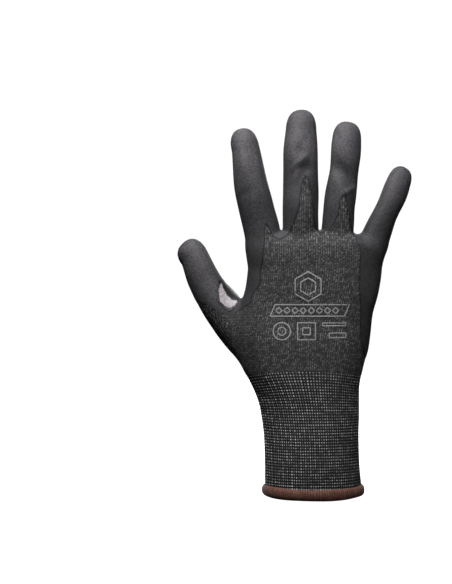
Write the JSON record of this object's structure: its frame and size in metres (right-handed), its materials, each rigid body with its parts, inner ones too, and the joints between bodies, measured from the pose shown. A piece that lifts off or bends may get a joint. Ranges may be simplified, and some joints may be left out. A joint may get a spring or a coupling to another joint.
{
  "type": "cut resistant glove",
  "caption": "Knitted cut-resistant work glove with foam-dipped palm and fingers, ribbed elastic cuff, overlocked hem and bending finger and wrist creases.",
  "frame": {"origin": "centre of the hand opening, in the plane of the hem's lower rim", "axes": "+Z from the cuff to the fingertips, +Y out of the palm, -X towards the thumb"},
  "size_m": [0.1416, 0.0511, 0.2404],
  "materials": {
    "knit_liner": "fine melange knit",
    "rib_cuff": "ribbed melange knit",
    "hem_thread": "brown overlock thread",
    "foam_nitrile": "sandy matt foam dip",
    "gloss_nitrile": "smooth gloss dip",
    "elastic_yarn": "matt rubber thread",
    "print_ink": "satin grey ink"
  },
  "bodies": {
    "cuff": {"cuff_rib": "rib_cuff", "hem_overlock": "hem_thread", "cuff_elastic": "elastic_yarn"},
    "palm": {"palm_liner": "knit_liner", "palm_coating": "foam_nitrile", "wrist_crease": "knit_liner", "thumb_crotch_patch": "gloss_nitrile", "print_emblem": "print_ink", "print_band": "print_ink", "print_ring": "print_ink", "print_tile": "print_ink", "print_line_upper": "print_ink", "print_line_lower": "print_ink", "index_root_crease": "foam_nitrile", "middle_root_crease": "foam_nitrile", "ring_root_crease": "foam_nitrile", "little_root_crease": "foam_nitrile", "thumb_root_crease": "foam_nitrile"},
    "index_base": {"index_base_liner": "knit_liner", "index_base_coating": "foam_nitrile", "index_mid_crease": "foam_nitrile"},
    "index_mid": {"index_mid_liner": "knit_liner", "index_mid_coating": "foam_nitrile", "index_tip_crease": "foam_nitrile"},
    "index_tip": {"index_tip_liner": "knit_liner", "index_tip_coating": "foam_nitrile"},
    "middle_base": {"middle_base_liner": "knit_liner", "middle_base_coating": "foam_nitrile", "middle_mid_crease": "foam_nitrile"},
    "middle_mid": {"middle_mid_liner": "knit_liner", "middle_mid_coating": "foam_nitrile", "middle_tip_crease": "foam_nitrile"},
    "middle_tip": {"middle_tip_liner": "knit_liner", "middle_tip_coating": "foam_nitrile"},
    "ring_base": {"ring_base_liner": "knit_liner", "ring_base_coating": "foam_nitrile", "ring_mid_crease": "foam_nitrile"},
    "ring_mid": {"ring_mid_liner": "knit_liner", "ring_mid_coating": "foam_nitrile", "ring_tip_crease": "foam_nitrile"},
    "ring_tip": {"ring_tip_liner": "knit_liner", "ring_tip_coating": "foam_nitrile"},
    "little_base": {"little_base_liner": "knit_liner", "little_base_coating": "foam_nitrile", "little_mid_crease": "foam_nitrile"},
    "little_mid": {"little_mid_liner": "knit_liner", "little_mid_coating": "foam_nitrile", "little_tip_crease": "foam_nitrile"},
    "little_tip": {"little_tip_liner": "knit_liner", "little_tip_coating": "foam_nitrile"},
    "thumb_base": {"thumb_base_liner": "knit_liner", "thumb_base_coating": "foam_nitrile", "thumb_mid_crease": "foam_nitrile"},
    "thumb_mid": {"thumb_mid_liner": "knit_liner", "thumb_mid_coating": "foam_nitrile", "thumb_tip_crease": "foam_nitrile"},
    "thumb_tip": {"thumb_tip_liner": "knit_liner", "thumb_tip_coating": "foam_nitrile"}
  },
  "joints": [
    {"name": "wrist_flex", "type": "hinge", "parent": "cuff", "child": "palm", "pos_m": [-0.0062, 0, 0.08], "axis": [-1, 0, 0], "range_deg": [-35, 35], "deforming": ["wrist_crease"]},
    {"name": "index_root_flex", "type": "hinge", "parent": "palm", "child": "index_base", "pos_m": [-0.03395, 0.00457, 0.1724], "axis": [-0.979, 0, -0.204], "range_deg": [-15, 70], "deforming": ["index_root_crease"]},
    {"name": "index_mid_flex", "type": "hinge", "parent": "index_base", "child": "index_mid", "pos_m": [-0.03765, 0.00568, 0.19042], "axis": [-0.9868, 0, -0.1621], "range_deg": [-5, 80], "deforming": ["index_mid_crease"]},
    {"name": "index_tip_flex", "type": "hinge", "parent": "index_mid", "child": "index_tip", "pos_m": [-0.04055, 0.00815, 0.20875], "axis": [-0.991, 0, -0.1339], "range_deg": [-5, 45], "deforming": ["index_tip_crease"]},
    {"name": "middle_root_flex", "type": "hinge", "parent": "palm", "child": "middle_base", "pos_m": [-0.00786, 0.00463, 0.17294], "axis": [-1, 0, -0.0071], "range_deg": [-15, 70], "deforming": ["middle_root_crease"]},
    {"name": "middle_mid_flex", "type": "hinge", "parent": "middle_base", "child": "middle_mid", "pos_m": [-0.00802, 0.006, 0.19652], "axis": [-0.9999, 0, 0.017], "range_deg": [-5, 80], "deforming": ["middle_mid_crease"]},
    {"name": "middle_tip_flex", "type": "hinge", "parent": "middle_mid", "child": "middle_tip", "pos_m": [-0.00768, 0.00846, 0.21789], "axis": [-0.9999, 0, 0.0151], "range_deg": [-5, 45], "deforming": ["middle_tip_crease"]},
    {"name": "ring_root_flex", "type": "hinge", "parent": "palm", "child": "ring_base", "pos_m": [0.01501, 0.00436, 0.17291], "axis": [-0.9994, 0, 0.0347], "range_deg": [-15, 70], "deforming": ["ring_root_crease"]},
    {"name": "ring_mid_flex", "type": "hinge", "parent": "ring_base", "child": "ring_mid", "pos_m": [0.01743, 0.00587, 0.19347], "axis": [-0.9925, 0, 0.1222], "range_deg": [-5, 80], "deforming": ["ring_mid_crease"]},
    {"name": "ring_tip_flex", "type": "hinge", "parent": "ring_mid", "child": "ring_tip", "pos_m": [0.01983, 0.00872, 0.21284], "axis": [-0.9923, 0, 0.124], "range_deg": [-5, 45], "deforming": ["ring_tip_crease"]},
    {"name": "little_root_flex", "type": "hinge", "parent": "palm", "child": "little_base", "pos_m": [0.04006, 0.00367, 0.16744], "axis": [-0.9216, 0, 0.3881], "range_deg": [-15, 70], "deforming": ["little_root_crease"]},
    {"name": "little_mid_flex", "type": "hinge", "parent": "little_base", "child": "little_mid", "pos_m": [0.04611, 0.00462, 0.1806], "axis": [-0.92, 0, 0.3919], "range_deg": [-5, 80], "deforming": ["little_mid_crease"]},
    {"name": "little_tip_flex", "type": "hinge", "parent": "little_mid", "child": "little_tip", "pos_m": [0.05114, 0.00646, 0.19243], "axis": [-0.9202, 0, 0.3916], "range_deg": [-5, 45], "deforming": ["little_tip_crease"]},
    {"name": "thumb_root_flex", "type": "hinge", "parent": "palm", "child": "thumb_base", "pos_m": [-0.05, 0.011, 0.113], "axis": [0.7809, 0, 0.6247], "range_deg": [-35, 15], "deforming": ["thumb_root_crease", "thumb_crotch_patch"]},
    {"name": "thumb_mid_flex", "type": "hinge", "parent": "thumb_base", "child": "thumb_mid", "pos_m": [-0.0557, 0.01617, 0.12833], "axis": [-0.2238, 0.8953, -0.3852], "range_deg": [-10, 40], "deforming": ["thumb_mid_crease"]},
    {"name": "thumb_tip_flex", "type": "hinge", "parent": "thumb_mid", "child": "thumb_tip", "pos_m": [-0.06447, 0.01834, 0.1423], "axis": [-0.2321, 0.9286, -0.2897], "range_deg": [-10, 60], "deforming": ["thumb_tip_crease"]}
  ]
}
